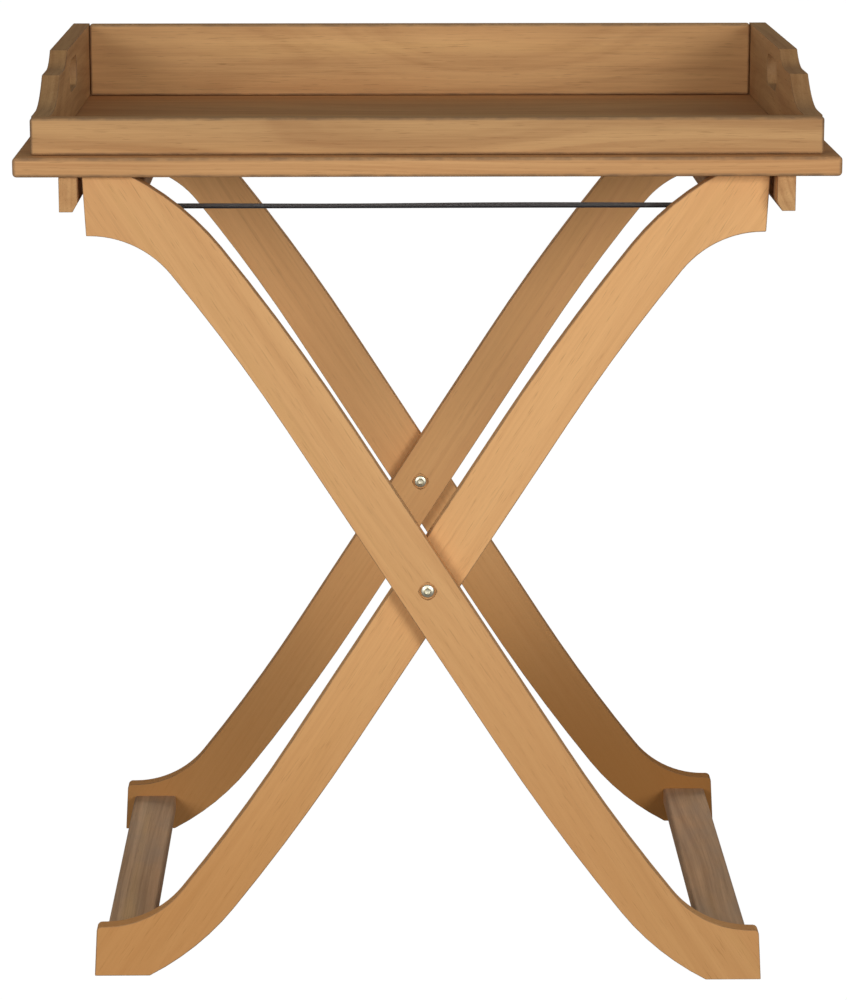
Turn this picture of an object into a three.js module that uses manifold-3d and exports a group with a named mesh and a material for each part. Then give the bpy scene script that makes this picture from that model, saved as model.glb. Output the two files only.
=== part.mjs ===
// Folding tray table: a wooden tray with a scrolled gallery, resting on a crossed folding stand.
// Millimetres, +Z up, +X to the right, -Y towards the front. The origin is on the floor,
// under the middle of the table.

import * as THREE from 'three';
import { mergeVertices } from 'three/addons/utils/BufferGeometryUtils.js';
import Module from 'manifold-3d';

const wasm = await Module();
wasm.setup();

// ---------------------------------------------------------------- driving dimensions

const seatGap = 0.3;            // left between pieces that touch
const boreGap = 0.3;            // around a screw, dowel or tenon in its hole
const overrun = 1;              // a cutting shape passes the surface that it cuts by this much

// Tray
const trayWidth = 650;
const trayDepth = 469;
const boardThickness = 15.7;
const boardOverhang = 13.3;     // the board runs past the gallery all round
const galleryThickness = 14.8;
const frontRailHeight = 29.2;
const galleryHeight = 63.6;     // back panel, and the rear of the side panels
const ledgeHeight = 51;         // the step half way down a side panel's scroll
const upperScrollStart = 196;   // distances behind the gallery's front face
const upperScrollLength = 41;
const lowerScrollStart = 117;
const lowerScrollLength = 68;
const upperScrollDip = 0.42;    // where each scroll's curve turns, as a share of its length
const lowerScrollDip = 0.47;
const handleLength = 76;
const handleHeight = 26;
const handleBehindScroll = 17;  // wood left between the scroll and the hand slot
const handleRise = 25.5;        // underside of the hand slot above the board
const battenWidth = 14.6;
const battenHeight = 28.2;
const battenInset = 9.6;        // the batten stops short of the board's edge
const battenFromSide = 35.2;    // board edge to the batten's outer face
const battenBevelWidth = 4;
const battenBevelHeight = 7;

// Stand
const standHeight = 668.4;      // floor to the top of the legs
const standDepth = 444.8;
const pivotBelowMiddle = 2.4;   // the pivot's drop below half the stand's height
const legThickness = 14.4;
const legWidth = 45.1;
const pivotClearance = 1.6;     // between an outer and an inner leg
const headClearance = 3.6;      // between a leg's head and the batten
const footSpread = 4.1;         // each foot reaches this much further than the head above it
const headPadLength = 38.4;     // flat top of a leg, where the tray rests
const headTipHeight = 47.5;
const footTipHeight = 43;
const outerLongRadius = 1790;   // a leg's convex edge has a long bend, then a tighter one
const outerLongTurn = 5.6;      // degrees turned by the long bend
const outerTipRadius = 222;
const outerCornerTilt = 27.8;   // degrees from level, where the convex edge meets the flat end
const innerLongRadius = 1486;   // and so does its concave edge, which ends level
const innerLongTurn = 5.9;
const innerTipRadius = 81.7;
const endCutAngle = 3;          // degrees off plumb
const tipRounding = 4;

// Cross rails
const railWidth = 38;
const railThickness = 15;
const railTopAboveFloor = 32;
const railFromLegEnd = 6.8;     // rail's outer edge to the leg's end
const tenonWidth = 24;
const tenonThickness = 8;
const tenonLength = 8;

// Pivot fittings
const boltRadius = 3;
const boltHeadRadius = 5.4;
const boltHeadHeight = 2.9;
const boltDomeHeight = 1.2;     // the rounded share of the head, above its straight side
const boltDomeTurn = 63;        // degrees that the dome curves through
const threadShortfall = 1;      // the bolt ends this far before the bottom of the nut's sleeve
const boltRecessRadius = 7.2;
const boltRecessDepth = 2.4;
const socketRadius = 2.1;
const socketDepth = 1.4;
const sleeveRadius = 4.2;
const washerRadius = 9;

// Fasteners
const screwHeadRadius = 3.6;
const screwHeadHeight = 2.4;
const screwShankRadius = 1.8;
const screwPointLength = 4;
const battenScrewLength = 38;
const galleryScrewLength = 32;
const dowelRadius = 3;
const dowelLength = 26;
const dowelInPanel = 9;         // how far a dowel enters the piece that it butts against

// Straps
const strapWidth = 20;
const strapThickness = 1.6;
const strapFromMiddle = 154;
const strapLap = 26;            // length held under each top rail
const strapWasherRadius = 8;
const strapWasherThickness = 1.2;
const strapScrewLength = 13;
const strapScrewHeadHeight = 2;
const strapScrewFaceRadius = 2.2;
const strapScrewEdgeHeight = 1.2;

// Curves
const radians = THREE.MathUtils.degToRad;
const curveStep = radians(4);
const longCurveStep = radians(1.2);
const tipStep = radians(22);
const scrollSteps = 10;
const domeSteps = 4;
const roundSides = 16;
const socketSides = 6;

// ---------------------------------------------------------------- worked-out places

const boardBottom = standHeight + seatGap;
const boardTop = boardBottom + boardThickness;
const galleryBottom = boardTop + seatGap;
const galleryHalfWidth = trayWidth / 2 - boardOverhang;
const galleryHalfDepth = trayDepth / 2 - boardOverhang;
const battenOuter = trayWidth / 2 - battenFromSide;
const battenInner = battenOuter - battenWidth;
const headReach = battenInner - headClearance;
const footReach = headReach + footSpread;
const pivotHeight = standHeight / 2 - pivotBelowMiddle;
const outerLegFace = standDepth / 2;
const innerLegFace = outerLegFace - legThickness - pivotClearance;
const railOuter = headReach - railFromLegEnd + footSpread / 2;
const railMiddle = railOuter - railWidth / 2;
const topRailBottom = standHeight - railTopAboveFloor;
const strapTop = topRailBottom - seatGap;

// ---------------------------------------------------------------- materials

function finish(name, color, roughness, metalness) {
  return new THREE.MeshStandardMaterial({ name, color, roughness, metalness });
}

const standWood = finish('stand_wood', 0xc08a55, 0.55, 0);
const trayWood = finish('tray_wood', 0xb98a5c, 0.55, 0);
const railWood = finish('rail_wood', 0x85705a, 0.7, 0);
const dowelWood = finish('dowel_wood', 0xd8bd92, 0.7, 0);
const nickel = finish('nickel', 0xc9c6b6, 0.3, 1);
const screwSteel = finish('screw_steel', 0x9c9a90, 0.35, 1);
const nylon = finish('nylon', 0x2a2a2a, 0.6, 0);
const webbing = finish('webbing', 0x1c1c1e, 0.85, 0);

// ---------------------------------------------------------------- making solids

const table = new THREE.Group();

function place(name, geometry, material) {
  const mesh = new THREE.Mesh(geometry, material);
  mesh.name = name;
  table.add(mesh);
}

function toSolid(geometry) {
  const bare = geometry.clone();
  bare.deleteAttribute('normal');
  bare.deleteAttribute('uv');
  const merged = mergeVertices(bare, 1e-4);
  const vertProperties = new Float32Array(merged.attributes.position.array);
  const triVerts = new Uint32Array(merged.index.array);
  return new wasm.Manifold(new wasm.Mesh({ numProp: 3, vertProperties, triVerts }));
}

function toGeometry(solid) {
  const mesh = solid.getMesh();
  const geometry = new THREE.BufferGeometry();
  geometry.setAttribute('position', new THREE.BufferAttribute(mesh.vertProperties, 3));
  geometry.setIndex(new THREE.BufferAttribute(mesh.triVerts, 1));
  geometry.computeVertexNormals();
  return geometry;
}

function cut(geometry, tools) {
  let solid = toSolid(geometry);
  for (const tool of tools) {
    solid = solid.subtract(toSolid(tool));
  }
  return toGeometry(solid);
}

function join(geometries) {
  let solid = toSolid(geometries[0]);
  for (const other of geometries.slice(1)) {
    solid = solid.add(toSolid(other));
  }
  return toGeometry(solid);
}

// A block between two corners.
function block(low, high) {
  const size = high.clone().sub(low);
  const middle = high.clone().add(low).multiplyScalar(0.5);
  return new THREE.BoxGeometry(size.x, size.y, size.z).translate(middle.x, middle.y, middle.z);
}

function span(x0, x1, y0, y1, z0, z1) {
  return block(new THREE.Vector3(x0, y0, z0), new THREE.Vector3(x1, y1, z1));
}

// Turns a profile of [radius, height] pairs about a line that starts at `start` and runs along
// `direction`.
function turned(profile, start, direction) {
  const points = profile.map(([radius, height]) => new THREE.Vector2(radius, height));
  const geometry = new THREE.LatheGeometry(points, roundSides);
  const up = new THREE.Vector3(0, 1, 0);
  geometry.applyQuaternion(new THREE.Quaternion().setFromUnitVectors(up, direction));
  return geometry.translate(start.x, start.y, start.z);
}

function rod(radius, start, direction, length) {
  return turned([[0, 0], [radius, 0], [radius, length], [0, length]], start, direction);
}

const upwards = new THREE.Vector3(0, 0, 1);
const downwards = new THREE.Vector3(0, 0, -1);

// ---------------------------------------------------------------- screws and dowels

// A countersunk wood screw: the top of its head at `start`, its point along `direction`.
function countersunkScrew(start, direction, length) {
  const profile = [
    [0, 0],
    [screwHeadRadius, 0],
    [screwShankRadius, screwHeadHeight],
    [screwShankRadius, length - screwPointLength],
    [0, length],
  ];
  return turned(profile, start, direction);
}

// The hole for such a screw, a little wider and longer than it.
function countersunkHole(start, direction, length) {
  const flare = screwHeadRadius + boreGap;
  const bore = screwShankRadius + boreGap;
  const profile = [
    [0, -overrun],
    [flare, -overrun],
    [flare, boreGap],
    [bore, screwHeadHeight + boreGap],
    [bore, length + overrun],
    [0, length + overrun],
  ];
  return turned(profile, start, direction);
}

function dowelHole(start, direction) {
  const opening = start.clone().addScaledVector(direction, -boreGap);
  return rod(dowelRadius + boreGap, opening, direction, dowelLength + 2 * boreGap);
}

// ---------------------------------------------------------------- tray fixings

const screwSink = 0.4;          // a countersunk head sits this far below the surface
const battenScrewFromEnd = 54.9;
const frontScrewFromCorner = 86.7;
const sideScrewFromCorner = 71.2;
const battenScrewSpacing = trayDepth / 2 - battenInset - battenScrewFromEnd;
const frontScrewSpacing = galleryHalfWidth - frontScrewFromCorner;
const sideScrewFromMiddle = galleryHalfDepth - sideScrewFromCorner;
const frontRailMiddle = -(galleryHalfDepth - galleryThickness / 2);
const backPanelMiddle = galleryHalfDepth - galleryThickness / 2;
const sidePanelMiddle = galleryHalfWidth - galleryThickness / 2;
const battenMiddle = (battenOuter + battenInner) / 2;

const battenScrews = [];
const galleryScrews = [];
for (const [side, sign] of [['left', -1], ['right', 1]]) {
  for (const [index, step] of [-1, 0, 1].entries()) {
    const start = new THREE.Vector3(sign * battenMiddle, step * battenScrewSpacing,
      boardBottom - battenHeight - seatGap + screwSink);
    battenScrews.push({ name: `batten_screw_${side}_${index + 1}`, start, side });
  }
}
for (const [row, y] of [['front', frontRailMiddle], ['back', backPanelMiddle]]) {
  for (const [index, step] of [-1, 0, 1].entries()) {
    const start = new THREE.Vector3(step * frontScrewSpacing, y, boardBottom + screwSink);
    galleryScrews.push({ name: `gallery_screw_${row}_${index + 1}`, start, piece: row });
  }
}
for (const [side, sign] of [['left', -1], ['right', 1]]) {
  for (const [index, step] of [-1, 1].entries()) {
    const start = new THREE.Vector3(sign * sidePanelMiddle, step * sideScrewFromMiddle,
      boardBottom + screwSink);
    galleryScrews.push({ name: `gallery_screw_${side}_${index + 1}`, start, piece: side });
  }
}

for (const screw of battenScrews) {
  place(screw.name, countersunkScrew(screw.start, upwards, battenScrewLength), screwSteel);
}
for (const screw of galleryScrews) {
  place(screw.name, countersunkScrew(screw.start, upwards, galleryScrewLength), screwSteel);
}

function battenScrewHoles(side) {
  return battenScrews.filter((screw) => !side || screw.side === side)
    .map((screw) => countersunkHole(screw.start, upwards, battenScrewLength));
}

function galleryScrewHoles(piece) {
  return galleryScrews.filter((screw) => !piece || screw.piece === piece)
    .map((screw) => countersunkHole(screw.start, upwards, galleryScrewLength));
}

// Two dowels in each corner of the gallery. A front dowel runs from the front rail back into
// the end of the side panel; a back dowel runs from the side panel into the back panel's end.
const frontDowelHeights = [0.28, 0.72];
const backDowelHeights = [0.28, 0.74];
const dowels = [];
for (const [side, sign] of [['left', -1], ['right', 1]]) {
  for (const [index, share] of frontDowelHeights.entries()) {
    const start = new THREE.Vector3(sign * sidePanelMiddle,
      -galleryHalfDepth + galleryThickness - dowelInPanel,
      galleryBottom + share * frontRailHeight);
    dowels.push({ name: `front_dowel_${side}_${index + 1}`, start, side, end: 'front',
      direction: new THREE.Vector3(0, 1, 0) });
  }
  for (const [index, share] of backDowelHeights.entries()) {
    const start = new THREE.Vector3(sign * (galleryHalfWidth - galleryThickness + dowelInPanel),
      backPanelMiddle, galleryBottom + share * galleryHeight);
    dowels.push({ name: `back_dowel_${side}_${index + 1}`, start, side, end: 'back',
      direction: new THREE.Vector3(-sign, 0, 0) });
  }
}

for (const dowel of dowels) {
  place(dowel.name, rod(dowelRadius, dowel.start, dowel.direction, dowelLength), dowelWood);
}

function dowelHoles(wanted) {
  return dowels.filter(wanted).map((dowel) => dowelHole(dowel.start, dowel.direction));
}

// ---------------------------------------------------------------- tray

function trayBoard() {
  const board = span(-trayWidth / 2, trayWidth / 2, -trayDepth / 2, trayDepth / 2,
    boardBottom, boardTop);
  return cut(board, [...battenScrewHoles(), ...galleryScrewHoles()]);
}

function frontRail() {
  const rail = span(-galleryHalfWidth, galleryHalfWidth,
    -galleryHalfDepth, -galleryHalfDepth + galleryThickness,
    galleryBottom, galleryBottom + frontRailHeight);
  return cut(rail, [...galleryScrewHoles('front'), ...dowelHoles((dowel) => dowel.end === 'front')]);
}

function backPanel() {
  const half = galleryHalfWidth - galleryThickness - seatGap;
  const panel = span(-half, half, galleryHalfDepth - galleryThickness, galleryHalfDepth,
    galleryBottom, galleryBottom + galleryHeight);
  return cut(panel, [...galleryScrewHoles('back'), ...dowelHoles((dowel) => dowel.end === 'back')]);
}

// The side panel's outline, drawn with depth behind the gallery's front face across and height
// above the board upwards.
function sidePanelOutline() {
  const front = galleryThickness + seatGap;
  const back = 2 * galleryHalfDepth;
  const upperEnd = upperScrollStart - upperScrollLength;
  const lowerEnd = lowerScrollStart - lowerScrollLength;
  const outline = new THREE.Shape();
  outline.moveTo(front, 0);
  outline.lineTo(back, 0);
  outline.lineTo(back, galleryHeight);
  outline.lineTo(upperScrollStart, galleryHeight);
  outline.quadraticCurveTo(upperScrollStart - upperScrollDip * upperScrollLength, ledgeHeight,
    upperEnd, ledgeHeight);
  outline.lineTo(lowerScrollStart, ledgeHeight);
  outline.quadraticCurveTo(lowerScrollStart - lowerScrollDip * lowerScrollLength, frontRailHeight,
    lowerEnd, frontRailHeight);
  outline.lineTo(front, frontRailHeight);
  outline.closePath();

  const radius = handleHeight / 2;
  const middle = handleRise + radius;
  const slotFront = upperScrollStart + handleBehindScroll + radius;
  const slotBack = slotFront + handleLength - handleHeight;
  const slot = new THREE.Path();
  slot.absarc(slotBack, middle, radius, -Math.PI / 2, Math.PI / 2, false);
  slot.absarc(slotFront, middle, radius, Math.PI / 2, 3 * Math.PI / 2, false);
  slot.closePath();
  outline.holes.push(slot);
  return outline;
}

function sidePanel(side, sign) {
  const settings = { depth: galleryThickness, bevelEnabled: false, curveSegments: scrollSteps };
  const panel = new THREE.ExtrudeGeometry(sidePanelOutline(), settings);
  const inner = sign > 0 ? galleryHalfWidth - galleryThickness : -galleryHalfWidth;
  // Drawn across, up and outwards; turned so that these run along +Y, +Z and +X.
  const turn = new THREE.Matrix4().makeBasis(
    new THREE.Vector3(0, 1, 0), new THREE.Vector3(0, 0, 1), new THREE.Vector3(1, 0, 0));
  panel.applyMatrix4(turn).translate(inner, -galleryHalfDepth, galleryBottom);
  return cut(panel, [...galleryScrewHoles(side), ...dowelHoles((dowel) => dowel.side === side)]);
}

function batten(side, sign) {
  const top = boardBottom - seatGap;
  const bottom = top - battenHeight;
  const outline = new THREE.Shape();
  outline.moveTo(battenOuter, top);
  outline.lineTo(battenInner, top);
  outline.lineTo(battenInner, bottom + battenBevelHeight);
  outline.lineTo(battenInner + battenBevelWidth, bottom);
  outline.lineTo(battenOuter, bottom);
  outline.closePath();
  const length = trayDepth - 2 * battenInset;
  const bar = new THREE.ExtrudeGeometry(outline, { depth: length, bevelEnabled: false });
  bar.rotateX(Math.PI / 2).translate(0, length / 2, 0);
  if (sign < 0) {
    bar.rotateZ(Math.PI);
  }
  return cut(bar, battenScrewHoles(side));
}

place('tray_board', trayBoard(), trayWood);
place('front_rail', frontRail(), trayWood);
place('back_panel', backPanel(), trayWood);
for (const [side, sign] of [['left', -1], ['right', 1]]) {
  place(`side_panel_${side}`, sidePanel(side, sign), trayWood);
  place(`batten_${side}`, batten(side, sign), trayWood);
}

// ---------------------------------------------------------------- leg outline

// A leg is drawn about its pivot, from the pivot up to the left. Its edges leave the pivot as
// straight lines at the leg's tilt, measured from the horizontal, and bend towards level.

function bendTo(points, radius, fromTilt, toTilt, step) {
  const start = points[points.length - 1];
  const steps = Math.max(2, Math.ceil(Math.abs(fromTilt - toTilt) / step));
  for (let index = 1; index <= steps; index += 1) {
    const tilt = THREE.MathUtils.lerp(fromTilt, toTilt, index / steps);
    points.push(new THREE.Vector2(
      start.x - radius * (Math.sin(fromTilt) - Math.sin(tilt)),
      start.y + radius * (Math.cos(tilt) - Math.cos(fromTilt))));
  }
}

// One edge of a leg: a long bend of `longTurn`, then a tighter one down to `lastTilt`, after as
// much straight edge as brings the end to `rise`. `offset` is the edge's distance from the
// leg's centre line, positive on the convex side.
function legEdge(tilt, offset, rise, long, longTurn, tip, lastTilt) {
  const bendEnd = tilt - longTurn;
  const climb = long * (Math.cos(bendEnd) - Math.cos(tilt))
    + tip * (Math.cos(lastTilt) - Math.cos(bendEnd));
  const run = (rise - climb - Math.cos(tilt) * offset) / Math.sin(tilt);
  const points = [new THREE.Vector2(
    Math.sin(tilt) * offset - Math.cos(tilt) * run,
    Math.cos(tilt) * offset + Math.sin(tilt) * run)];
  bendTo(points, long, tilt, bendEnd, longCurveStep);
  bendTo(points, tip, bendEnd, lastTilt, curveStep);
  return points;
}

function convexEdge(tilt, rise) {
  return legEdge(tilt, legWidth / 2, rise, outerLongRadius, radians(outerLongTurn),
    outerTipRadius, radians(outerCornerTilt));
}

function concaveEdge(tilt, rise) {
  return legEdge(tilt, -legWidth / 2, rise, innerLongRadius, radians(innerLongTurn),
    innerTipRadius, 0);
}

const steepestTilt = 88;        // degrees, above any real stand's
const tiltRounds = 40;

// The tilt that brings the convex edge to the flat top where the pad begins, by halving.
function solveTilt(rise, padStart) {
  let low = radians(outerCornerTilt + outerLongTurn);
  let high = radians(steepestTilt);
  for (let round = 0; round < tiltRounds; round += 1) {
    const tilt = (low + high) / 2;
    const corner = convexEdge(tilt, rise).at(-1);
    if (-corner.x > padStart) {
      low = tilt;
    } else {
      high = tilt;
    }
  }
  return (low + high) / 2;
}

const headRise = standHeight - pivotHeight;
const legTilt = solveTilt(headRise, headReach - headPadLength);

// One half of the outline: out along the concave edge, round the end and back along the
// convex edge. The end is cut a little off plumb, longest at the level face.
function legHalf(rise, reach, tipHeight, rounded) {
  const taper = tipHeight * Math.tan(radians(endCutAngle));
  const half = concaveEdge(legTilt, rise - tipHeight);
  const corner = new THREE.Vector2(taper - reach, rise - tipHeight);
  if (rounded) {
    half.push(new THREE.Vector2(corner.x + tipRounding, corner.y));
    bendTo(half, -tipRounding, 0, Math.PI / 2 - radians(endCutAngle), tipStep);
  } else {
    half.push(corner);
  }
  half.push(new THREE.Vector2(-reach, rise));
  return [...half, ...convexEdge(legTilt, rise).reverse()];
}

// The whole outline of a leg that runs from the top left to the bottom right.
function legOutline() {
  const head = legHalf(headRise, headReach, headTipHeight, false);
  const foot = legHalf(pivotHeight, footReach, footTipHeight, true)
    .map((point) => point.clone().negate());
  return new THREE.Shape([...head, ...foot]);
}

// ---------------------------------------------------------------- strap fixings

// Each strap screw starts at the underside of its head and goes up into a top rail.
const strapReach = railMiddle - railWidth / 2 + strapLap;
const strapScrewFromMiddle = strapReach - strapLap / 2;
const strapScrewBottom = strapTop - strapThickness - seatGap - strapWasherThickness - seatGap
  - strapScrewHeadHeight;
const strapScrewPlaces = [];
for (const x of [-strapScrewFromMiddle, strapScrewFromMiddle]) {
  for (const y of [-strapFromMiddle, strapFromMiddle]) {
    strapScrewPlaces.push(new THREE.Vector3(x, y, strapScrewBottom));
  }
}

function strapScrewHole(point) {
  const start = point.clone().addScaledVector(upwards, strapScrewHeadHeight + seatGap / 2);
  return rod(screwShankRadius + boreGap, start, upwards, strapScrewLength);
}

function strapScrewHoles(side) {
  return strapScrewPlaces.filter((point) => point.x * side > 0).map(strapScrewHole);
}

// ---------------------------------------------------------------- stand

const pivotAxis = new THREE.Vector3(0, 1, 0);

// A cross rail's block. `upper` picks the head or the foot, `sign` the side in X, and `reach` is
// the distance from the middle to the leg's inner face.
function railBlock(upper, sign, reach, width, thickness, length) {
  const middle = upper ? topRailBottom + railThickness / 2 : railTopAboveFloor - railThickness / 2;
  return span(sign * railMiddle - width / 2, sign * railMiddle + width / 2,
    -reach - length, reach + length, middle - thickness / 2, middle + thickness / 2);
}

function rail(upper, sign, reach) {
  const bar = join([
    railBlock(upper, sign, reach, railWidth, railThickness, -seatGap),
    railBlock(upper, sign, reach, tenonWidth, tenonThickness, tenonLength),
  ]);
  return upper ? cut(bar, strapScrewHoles(sign)) : bar;
}

function mortises(headSign, reach) {
  return [[true, headSign], [false, -headSign]].map(([upper, sign]) => railBlock(upper, sign,
    reach, tenonWidth + 2 * boreGap, tenonThickness + 2 * boreGap, tenonLength + boreGap));
}

// `face` is the Y of the leg's front face. headSign is -1 for a leg whose head is on the left.
function leg(face, headSign, railReach, pivotHole) {
  const settings = { depth: legThickness, bevelEnabled: false };
  const body = new THREE.ExtrudeGeometry(legOutline(), settings);
  body.rotateX(Math.PI / 2).translate(0, legThickness, 0);
  if (headSign > 0) {
    body.rotateZ(Math.PI).translate(0, legThickness, 0);
  }
  body.translate(0, face, pivotHeight);
  return cut(body, [...mortises(headSign, railReach), pivotHole]);
}

// The hole through a leg for a bolt or its sleeve, with a recess for the head on the face at
// `headFace`, which looks along -`inwards`.
function pivotBore(headFace, inwards, radius) {
  const start = new THREE.Vector3(0, headFace, pivotHeight);
  const profile = [
    [0, -overrun],
    [boltRecessRadius, -overrun],
    [boltRecessRadius, boltRecessDepth],
    [radius, boltRecessDepth],
    [radius, legThickness + overrun],
    [0, legThickness + overrun],
  ];
  return turned(profile, start, inwards);
}

const outerRailReach = outerLegFace - legThickness;
const innerRailReach = innerLegFace - legThickness;

for (const [end, sign] of [['front', -1], ['rear', 1]]) {
  const inwards = pivotAxis.clone().multiplyScalar(-sign);
  const outwards = inwards.clone().negate();
  const outerHole = pivotBore(sign * outerLegFace, inwards, boltRadius + boreGap);
  const innerHole = pivotBore(sign * innerRailReach, outwards, sleeveRadius + boreGap);
  const outerFace = sign < 0 ? -outerLegFace : outerRailReach;
  const innerFace = sign < 0 ? -innerLegFace : innerRailReach;
  place(`outer_leg_${end}`, leg(outerFace, -1, outerRailReach, outerHole), standWood);
  place(`inner_leg_${end}`, leg(innerFace, 1, innerRailReach, innerHole), standWood);
}
place('outer_top_rail', rail(true, -1, outerRailReach), railWood);
place('outer_bottom_rail', rail(false, 1, outerRailReach), railWood);
place('inner_top_rail', rail(true, 1, innerRailReach), railWood);
place('inner_bottom_rail', rail(false, -1, innerRailReach), railWood);

// ---------------------------------------------------------------- pivot fittings

const headSeat = boltRecessDepth - boreGap;       // underside of a head below the leg's face
const sleeveLength = legThickness - headSeat - seatGap;
const boltLength = legThickness - headSeat + pivotClearance + sleeveLength - threadShortfall;

// A domed head with a hexagonal key socket: the top of its dome at `start`, its shank side
// along `direction`.
function domedHead(start, direction) {
  const profile = [[0, 0]];
  for (let index = domeSteps; index >= 0; index -= 1) {
    const angle = radians(boltDomeTurn) * index / domeSteps;
    const drop = 1 - Math.sin(angle) / Math.sin(radians(boltDomeTurn));
    profile.push([boltHeadRadius * Math.cos(angle), boltDomeHeight * drop]);
  }
  profile.push([boltHeadRadius, boltHeadHeight], [0, boltHeadHeight]);
  const head = turned(profile, start, direction);
  const depth = socketDepth + overrun;
  const socket = new THREE.CylinderGeometry(socketRadius, socketRadius, depth, socketSides);
  socket.translate(0, socketDepth - depth / 2, 0);
  socket.applyQuaternion(new THREE.Quaternion().setFromUnitVectors(new THREE.Vector3(0, 1, 0),
    direction));
  socket.translate(start.x, start.y, start.z);
  return cut(head, [socket]);
}

// A point on the pivot axis, `distance` towards `direction` from the plane at `y`.
function onAxis(y, direction, distance) {
  return new THREE.Vector3(0, y, pivotHeight).addScaledVector(direction, distance);
}

// The bolt's shank ends inside the sleeve of the cap nut.
for (const [end, sign] of [['front', -1], ['rear', 1]]) {
  const inwards = pivotAxis.clone().multiplyScalar(-sign);
  const outwards = inwards.clone().negate();
  const boltSeat = sign * (outerLegFace - headSeat);
  place(`pivot_bolt_${end}`, join([
    domedHead(onAxis(boltSeat, outwards, boltHeadHeight), inwards),
    rod(boltRadius, onAxis(boltSeat, outwards, overrun), inwards, boltLength + overrun),
  ]), nickel);

  const nutSeat = sign * (innerRailReach + headSeat);
  const capNut = join([
    domedHead(onAxis(nutSeat, inwards, boltHeadHeight), outwards),
    rod(sleeveRadius, onAxis(nutSeat, inwards, overrun), outwards, sleeveLength + overrun),
  ]);
  const thread = rod(boltRadius + boreGap, onAxis(nutSeat, inwards, 0), outwards,
    sleeveLength + overrun);
  place(`pivot_nut_${end}`, cut(capNut, [thread]), nickel);

  const washerFace = sign * (innerLegFace + seatGap);
  const washer = rod(washerRadius, onAxis(washerFace, inwards, 0), outwards,
    pivotClearance - 2 * seatGap);
  const washerHole = rod(boltRadius + boreGap, onAxis(washerFace, inwards, overrun), outwards,
    pivotClearance + 2 * overrun);
  place(`pivot_washer_${end}`, cut(washer, [washerHole]), nylon);
}

// ---------------------------------------------------------------- straps

// A strap lies flat under the top rails and is held at each end by a washer and a screw.
function strap(y) {
  const bar = span(-strapReach, strapReach, y - strapWidth / 2, y + strapWidth / 2,
    strapTop - strapThickness, strapTop);
  return cut(bar, strapScrewPlaces.filter((point) => point.y === y).map(strapScrewHole));
}

function strapWasher(point) {
  const top = point.clone().setZ(strapTop - strapThickness - seatGap);
  const disc = rod(strapWasherRadius, top, downwards, strapWasherThickness);
  return cut(disc, [strapScrewHole(point)]);
}

function strapScrew(point) {
  const profile = [
    [0, 0],
    [strapScrewFaceRadius, 0],
    [screwHeadRadius, strapScrewEdgeHeight],
    [screwHeadRadius, strapScrewHeadHeight],
    [screwShankRadius, strapScrewHeadHeight],
    [screwShankRadius, strapScrewLength - screwPointLength],
    [0, strapScrewLength],
  ];
  return turned(profile, point, upwards);
}

for (const [end, sign] of [['front', -1], ['rear', 1]]) {
  place(`strap_${end}`, strap(sign * strapFromMiddle), webbing);
}
for (const point of strapScrewPlaces) {
  const corner = `${point.y < 0 ? 'front' : 'rear'}_${point.x < 0 ? 'left' : 'right'}`;
  place(`strap_washer_${corner}`, strapWasher(point), screwSteel);
  place(`strap_screw_${corner}`, strapScrew(point), screwSteel);
}

export default table;
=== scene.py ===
"""Folding tray table: a scrolled butler's tray on a crossed stand, finished as oiled timber.

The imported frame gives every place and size. This file rounds the timber over, turns the
fittings, weaves the straps and finishes each piece, then sets up a plain studio.
"""

import math

import bmesh
import bpy
from mathutils import Color, Euler, Matrix, Vector


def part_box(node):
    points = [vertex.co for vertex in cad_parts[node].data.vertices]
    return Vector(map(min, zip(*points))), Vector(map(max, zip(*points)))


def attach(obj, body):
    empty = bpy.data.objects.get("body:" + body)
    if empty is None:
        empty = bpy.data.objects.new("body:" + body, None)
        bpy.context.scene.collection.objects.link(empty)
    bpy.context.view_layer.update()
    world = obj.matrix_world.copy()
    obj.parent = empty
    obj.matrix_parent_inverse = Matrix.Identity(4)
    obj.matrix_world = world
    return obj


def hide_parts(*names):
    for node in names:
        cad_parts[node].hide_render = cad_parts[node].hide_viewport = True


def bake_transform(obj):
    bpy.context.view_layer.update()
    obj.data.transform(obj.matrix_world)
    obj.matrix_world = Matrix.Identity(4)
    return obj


bl_info = {
    "name": "Folding Tray Table",
    "version": (1, 0, 0),
    "blender": (4, 5, 0),
    "location": "View3D > Sidebar > Tray Table",
    "description": "Builds the timber, fittings and straps of a folding tray table",
    "category": "Add Mesh",
}

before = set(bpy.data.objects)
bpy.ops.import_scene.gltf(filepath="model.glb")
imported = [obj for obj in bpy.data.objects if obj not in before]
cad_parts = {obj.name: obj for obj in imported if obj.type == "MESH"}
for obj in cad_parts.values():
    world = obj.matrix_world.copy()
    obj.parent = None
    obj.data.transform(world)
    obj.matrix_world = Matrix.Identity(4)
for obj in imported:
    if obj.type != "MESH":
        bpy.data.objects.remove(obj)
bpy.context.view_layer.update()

MM = 0.001
SIDES = ("left", "right")
ENDS = ("front", "rear")
RIGHT, BACK, UP = Vector((1, 0, 0)), Vector((0, 1, 0)), Vector((0, 0, 1))


# ------------------------------------------------------------------ settings

def length_property(name, description, millimetres):
    return bpy.props.FloatProperty(name=name, description=description, min=0.0,
                                   default=millimetres * MM, unit="LENGTH", precision=5)


def colour_property(name, description, red, green, blue):
    return bpy.props.FloatVectorProperty(name=name, description=description, min=0.0, max=1.0,
                                         subtype="COLOR_GAMMA",
                                         default=(red / 255, green / 255, blue / 255))


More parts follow.
